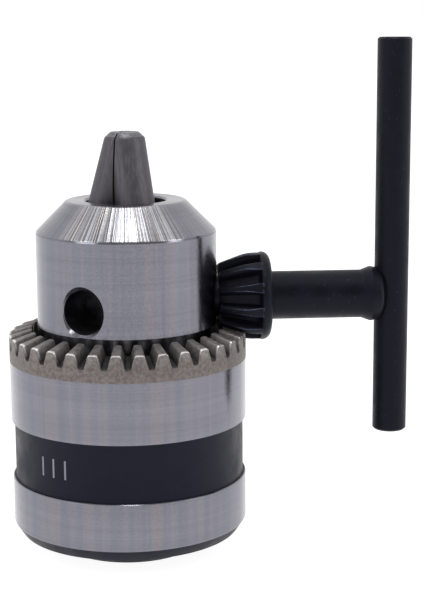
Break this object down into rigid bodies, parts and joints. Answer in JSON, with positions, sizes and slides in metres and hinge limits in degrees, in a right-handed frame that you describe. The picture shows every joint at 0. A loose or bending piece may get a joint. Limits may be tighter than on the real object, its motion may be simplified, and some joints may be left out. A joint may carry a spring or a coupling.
{
  "type": "keyed drill chuck",
  "caption": "Three-jaw keyed drill chuck with a toothed sleeve, a short-taper socket at the rear, and its T-handled key in mesh.",
  "frame": {"origin": "chuck axis at the rear face of the body's boss, in the mouth of the taper socket", "axes": "+Z along the chuck's axis from the spindle towards the jaws; +X along the key, from the chuck towards its cross bar"},
  "size_m": [0.073, 0.043, 0.0922],
  "materials": {
    "ground_steel": "turned and ground steel, bright",
    "sleeve_steel": "ground bands over black oxide, raw hardened teeth",
    "nut_steel": "hardened, oiled",
    "jaw_steel": "dark satin, hardened, bright ground tips",
    "key_black_steel": "black oxide, half gloss"
  },
  "bodies": {
    "chuck": {"body": "ground_steel"},
    "sleeve": {"sleeve": "sleeve_steel", "nut_half_a": "nut_steel", "nut_half_b": "nut_steel"},
    "jaw_1": {"jaw_1": "jaw_steel"},
    "jaw_2": {"jaw_2": "jaw_steel"},
    "jaw_3": {"jaw_3": "jaw_steel"},
    "key": {"key_shank": "key_black_steel", "key_bar": "key_black_steel"}
  },
  "joints": [
    {"name": "sleeve_turn", "type": "hinge", "parent": "chuck", "child": "sleeve", "pos_m": [0, 0, 0], "axis": [0, 0, 1], "range_deg": [0, 3806]},
    {"name": "jaw_1_slide", "type": "slide", "parent": "chuck", "child": "jaw_1", "axis": [0.1294, 0.2241, -0.9659], "range_m": [0, 0.01642]},
    {"name": "jaw_2_slide", "type": "slide", "parent": "chuck", "child": "jaw_2", "axis": [-0.2588, 0, -0.9659], "range_m": [0, 0.01642]},
    {"name": "jaw_3_slide", "type": "slide", "parent": "chuck", "child": "jaw_3", "axis": [0.1294, -0.2241, -0.9659], "range_m": [0, 0.01642]},
    {"name": "key_turn", "type": "hinge", "parent": "chuck", "child": "key", "pos_m": [0, 0, 0.04585], "axis": [1, 0, 0], "range_deg": [0, 11418]}
  ],
  "couplings": [
    {"joint": "jaw_1_slide", "follows": "sleeve_turn", "m_per_rad": 0.00024715},
    {"joint": "jaw_2_slide", "follows": "sleeve_turn", "m_per_rad": 0.00024715},
    {"joint": "jaw_3_slide", "follows": "sleeve_turn", "m_per_rad": 0.00024715},
    {"joint": "key_turn", "follows": "sleeve_turn", "ratio": 3}
  ]
}
